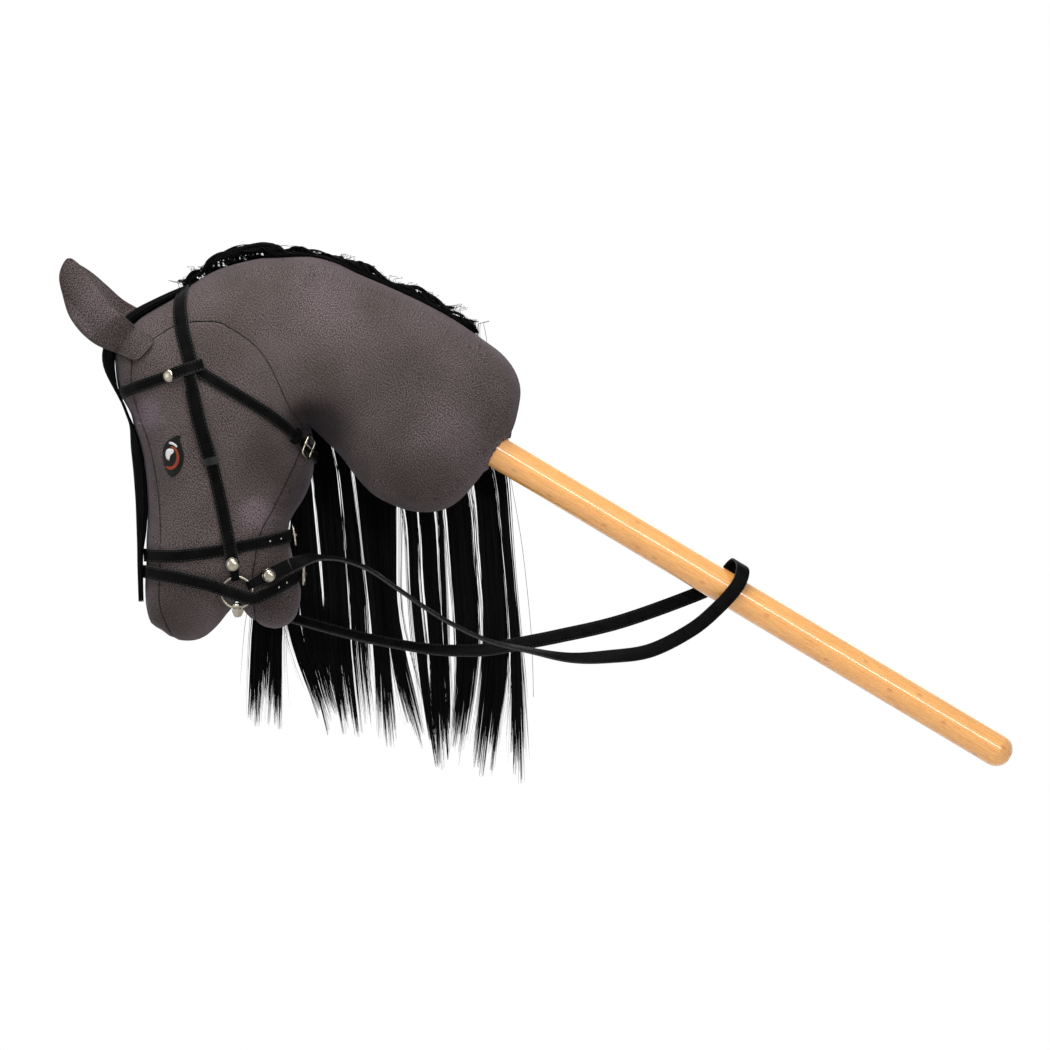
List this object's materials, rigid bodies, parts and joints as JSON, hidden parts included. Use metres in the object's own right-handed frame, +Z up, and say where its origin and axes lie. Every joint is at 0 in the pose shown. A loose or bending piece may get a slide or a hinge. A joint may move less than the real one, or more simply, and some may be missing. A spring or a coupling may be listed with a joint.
{
  "type": "hobby horse",
  "caption": "Hobby horse with a stuffed grey cloth head, long black mane, leather bridle, bit and reins, on a round beech stick.",
  "frame": {"origin": "on the stick's axis at the grip, 100 mm below the point where the stick enters the neck", "axes": "+Z up, +X from the horse's nose towards the stick's foot, -Y to the horse's left side"},
  "size_m": [0.8014, 0.1402, 0.4446],
  "materials": {
    "grey_cloth": "matte",
    "stuffing": "matte",
    "beech": "satin",
    "sleeve_canvas": "matte",
    "tie_cord": "matte",
    "black_leather": "satin",
    "nickel": "polished",
    "eye_thread": "satin",
    "black_hair": "satin"
  },
  "bodies": {
    "root": {"bit_mouthpiece": "nickel", "browband": "black_leather", "browband_stud_left": "nickel", "browband_stud_right": "nickel", "cheek_end_left": "black_leather", "cheek_end_right": "black_leather", "cheek_stud_left": "nickel", "cheek_stud_right": "nickel", "cheekpiece_left": "black_leather", "cheekpiece_right": "black_leather", "crest_braid": "black_hair", "crownpiece": "black_leather", "ear_left": "grey_cloth", "ear_right": "grey_cloth", "eye_left": "eye_thread", "eye_right": "eye_thread", "face_gusset": "grey_cloth", "flash_buckle": "nickel", "flash_strap": "black_leather", "forelock": "black_hair", "head_cover_left": "grey_cloth", "head_cover_right": "grey_cloth", "head_stuffing": "stuffing", "jaw_gusset": "grey_cloth", "mane_lock_01": "black_hair", "mane_lock_02": "black_hair", "mane_lock_03": "black_hair", "mane_lock_04": "black_hair", "mane_lock_05": "black_hair", "mane_lock_06": "black_hair", "mane_lock_07": "black_hair", "mane_lock_08": "black_hair", "mane_lock_09": "black_hair", "mane_lock_10": "black_hair", "mane_lock_11": "black_hair", "mane_weft": "black_hair", "neck_cover_left": "grey_cloth", "neck_cover_right": "grey_cloth", "neck_stuffing": "stuffing", "neck_tie_cord": "tie_cord", "noseband": "black_leather", "noseband_buckle": "nickel", "rein": "black_leather", "rein_end_left": "black_leather", "rein_end_right": "black_leather", "rein_stud_left": "nickel", "rein_stud_right": "nickel", "stick": "beech", "stick_sleeve": "sleeve_canvas", "throatlatch": "black_leather", "throatlatch_buckle": "nickel"},
    "bit_ring_left": {"bit_ring_left": "nickel"},
    "bit_ring_right": {"bit_ring_right": "nickel"},
    "throatlatch_tongue": {"throatlatch_tongue": "nickel"},
    "noseband_tongue": {"noseband_tongue": "nickel"},
    "flash_tongue": {"flash_tongue": "nickel"}
  },
  "joints": [
    {"name": "bit_ring_left_turn", "type": "hinge", "parent": "root", "child": "bit_ring_left", "pos_m": [-0.30484, -0.03887, -0.06671], "axis": [0, 1, 0], "continuous": true},
    {"name": "bit_ring_right_turn", "type": "hinge", "parent": "root", "child": "bit_ring_right", "pos_m": [-0.30484, 0.03887, -0.06671], "axis": [0, 1, 0], "continuous": true},
    {"name": "throatlatch_tongue_turn", "type": "hinge", "parent": "root", "child": "throatlatch_tongue", "pos_m": [-0.24745, -0.03668, 0.0585], "axis": [-0.3553, -0.3217, -0.8776], "range_deg": [0, 80]},
    {"name": "noseband_tongue_turn", "type": "hinge", "parent": "root", "child": "noseband_tongue", "pos_m": [-0.25736, 0.0069, -0.01859], "axis": [-0.1522, 0.0001, 0.9883], "range_deg": [0, 80]},
    {"name": "flash_tongue_turn", "type": "hinge", "parent": "root", "child": "flash_tongue", "pos_m": [-0.24994, -0.00841, -0.05203], "axis": [0.0015, 0.0288, -0.9996], "range_deg": [0, 80]}
  ]
}
